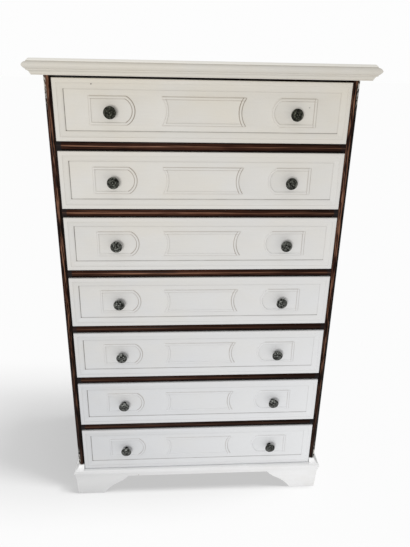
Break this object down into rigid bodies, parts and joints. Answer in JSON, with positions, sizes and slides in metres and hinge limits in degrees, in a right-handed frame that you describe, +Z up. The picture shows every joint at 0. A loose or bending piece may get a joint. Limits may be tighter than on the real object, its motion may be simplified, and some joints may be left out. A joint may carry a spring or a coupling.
{
  "type": "semainier chest of drawers",
  "caption": "Tall narrow chest of equal stacked drawers on a bracket plinth, with a moulded top, turned metal knobs and moulded drawer fronts that slide open.",
  "frame": {"origin": "on the floor, under the middle of the top board's rectangle", "axes": "+X to the right of someone facing the drawers, +Y from the drawer faces to the back, +Z up"},
  "size_m": [0.88, 0.47, 1.3742],
  "materials": {
    "white_paint": "off-white satin paint on wood, yellowed and chipped with age",
    "dark_stain": "dark red-brown stain and varnish, worn lighter on the raised beads",
    "raw_wood": "bare pine, unfinished inside the case",
    "dark_metal": "antiqued, near-black with worn highlights",
    "steel": "zinc plated"
  },
  "bodies": {
    "case": {"top_board": "white_paint", "side_left": "dark_stain", "side_right": "dark_stain", "post_left": "dark_stain", "post_right": "dark_stain", "post_blocks": "white_paint", "front_rails": "dark_stain", "top_rail": "dark_stain", "back_panel": "raw_wood", "bottom_board": "raw_wood", "runners_left": "raw_wood", "runners_right": "raw_wood", "plinth_front": "white_paint", "plinth_left": "white_paint", "plinth_right": "white_paint", "plinth_back": "raw_wood", "corner_blocks": "raw_wood", "drawer_stops": "raw_wood"},
    "drawer_1": {"drawer_1_front": "white_paint", "drawer_1_sides": "raw_wood", "drawer_1_back": "raw_wood", "drawer_1_bottom": "raw_wood", "drawer_1_knobs": "dark_metal", "drawer_1_knob_nuts": "steel"},
    "drawer_2": {"drawer_2_front": "white_paint", "drawer_2_sides": "raw_wood", "drawer_2_back": "raw_wood", "drawer_2_bottom": "raw_wood", "drawer_2_knobs": "dark_metal", "drawer_2_knob_nuts": "steel"},
    "drawer_3": {"drawer_3_front": "white_paint", "drawer_3_sides": "raw_wood", "drawer_3_back": "raw_wood", "drawer_3_bottom": "raw_wood", "drawer_3_knobs": "dark_metal", "drawer_3_knob_nuts": "steel"},
    "drawer_4": {"drawer_4_front": "white_paint", "drawer_4_sides": "raw_wood", "drawer_4_back": "raw_wood", "drawer_4_bottom": "raw_wood", "drawer_4_knobs": "dark_metal", "drawer_4_knob_nuts": "steel"},
    "drawer_5": {"drawer_5_front": "white_paint", "drawer_5_sides": "raw_wood", "drawer_5_back": "raw_wood", "drawer_5_bottom": "raw_wood", "drawer_5_knobs": "dark_metal", "drawer_5_knob_nuts": "steel"},
    "drawer_6": {"drawer_6_front": "white_paint", "drawer_6_sides": "raw_wood", "drawer_6_back": "raw_wood", "drawer_6_bottom": "raw_wood", "drawer_6_knobs": "dark_metal", "drawer_6_knob_nuts": "steel"},
    "drawer_7": {"drawer_7_front": "white_paint", "drawer_7_sides": "raw_wood", "drawer_7_back": "raw_wood", "drawer_7_bottom": "raw_wood", "drawer_7_knobs": "dark_metal", "drawer_7_knob_nuts": "steel"}
  },
  "joints": [
    {"name": "drawer_1_slide", "type": "slide", "parent": "case", "child": "drawer_1", "axis": [0, -1, 0], "range_m": [0, 0.3]},
    {"name": "drawer_2_slide", "type": "slide", "parent": "case", "child": "drawer_2", "axis": [0, -1, 0], "range_m": [0, 0.3]},
    {"name": "drawer_3_slide", "type": "slide", "parent": "case", "child": "drawer_3", "axis": [0, -1, 0], "range_m": [0, 0.3]},
    {"name": "drawer_4_slide", "type": "slide", "parent": "case", "child": "drawer_4", "axis": [0, -1, 0], "range_m": [0, 0.3]},
    {"name": "drawer_5_slide", "type": "slide", "parent": "case", "child": "drawer_5", "axis": [0, -1, 0], "range_m": [0, 0.3]},
    {"name": "drawer_6_slide", "type": "slide", "parent": "case", "child": "drawer_6", "axis": [0, -1, 0], "range_m": [0, 0.3]},
    {"name": "drawer_7_slide", "type": "slide", "parent": "case", "child": "drawer_7", "axis": [0, -1, 0], "range_m": [0, 0.3]}
  ]
}
